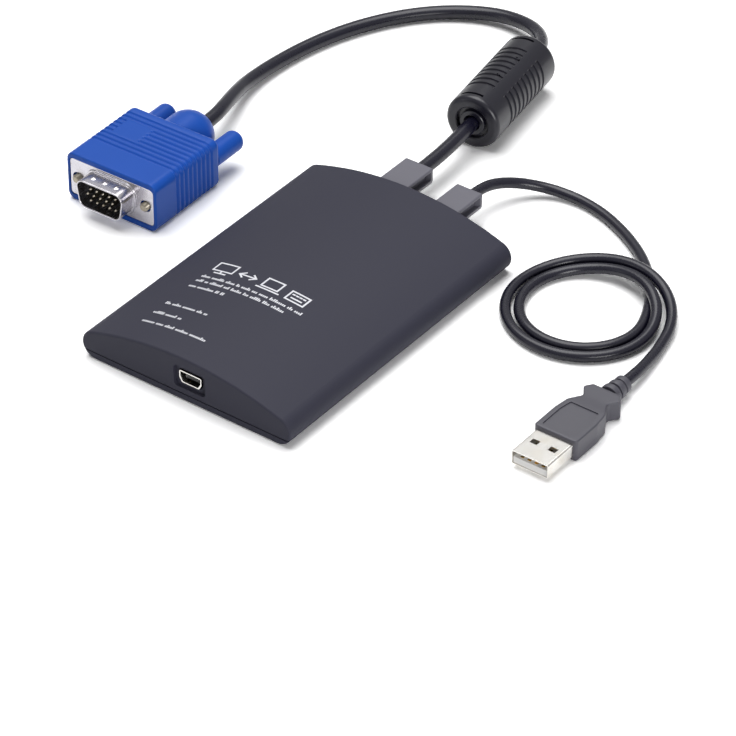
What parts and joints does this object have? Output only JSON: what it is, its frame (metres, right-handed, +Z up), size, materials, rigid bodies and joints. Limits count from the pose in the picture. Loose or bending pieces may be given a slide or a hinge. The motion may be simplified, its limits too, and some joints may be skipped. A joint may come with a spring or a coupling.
{
  "type": "crash cart adapter",
  "caption": "Flat arched housing with a mini-USB socket, a video cable with ferrite choke and VGA plug and a loosely coiled USB cable, for using a laptop as a server's console.",
  "frame": {"origin": "middle of the housing's base, on the surface that it lies on", "axes": "+Z up, +Y along the housing from its mini-USB socket to its cables"},
  "size_m": [0.1914, 0.2125, 0.0175],
  "materials": {
    "housing": "fine moulded texture, dark slate",
    "steel": "plain zinc plate",
    "board": "solder mask",
    "chip": "moulded package",
    "insert": "moulded nylon",
    "wire": "extruded insulation",
    "plating": "nickel plate",
    "insulator": "moulded",
    "gold": "gold flash",
    "boot": "satin moulding",
    "cable": "satin jacket",
    "choke_cover": "satin moulding",
    "ferrite": "sintered",
    "hood": "satin moulding, blue",
    "grip": "fine matte moulding"
  },
  "bodies": {
    "adapter": {"top_cover": "housing", "bottom_cover": "housing", "case_screws": "steel", "main_board": "board", "video_digitizer_chip": "chip", "usb_bridge_chip": "chip", "memory_chip": "chip", "crystal_can": "plating", "capacitors": "chip", "vga_wire_header": "insert", "usb_wire_header": "insert", "vga_wires": "wire", "usb_wires": "wire", "mini_usb_shell": "plating", "mini_usb_insert": "insulator", "mini_usb_contacts": "gold", "vga_cable_boot": "boot", "usb_cable_boot": "boot", "vga_cable": "cable", "usb_cable": "cable", "ferrite_cover": "choke_cover", "ferrite_core": "ferrite", "vga_hood": "hood", "vga_front_shell": "plating", "vga_insulator": "insulator", "vga_pins": "gold", "usb_plug_shell": "plating", "usb_plug_insert": "insert", "usb_plug_contacts": "gold", "usb_plug_grip": "grip"},
    "left_thumbscrew": {"left_thumbscrew_shaft": "steel", "left_thumbscrew_knob": "hood"},
    "right_thumbscrew": {"right_thumbscrew_shaft": "steel", "right_thumbscrew_knob": "hood"}
  },
  "joints": [
    {"name": "left_thumbscrew_turn", "type": "hinge", "parent": "adapter", "child": "left_thumbscrew", "pos_m": [-0.08559, 0.00513, 0.00815], "axis": [-0.0175, 0.9998, 0], "continuous": true},
    {"name": "right_thumbscrew_turn", "type": "hinge", "parent": "adapter", "child": "right_thumbscrew", "pos_m": [-0.06061, 0.00557, 0.00815], "axis": [-0.0175, 0.9998, 0], "continuous": true}
  ]
}
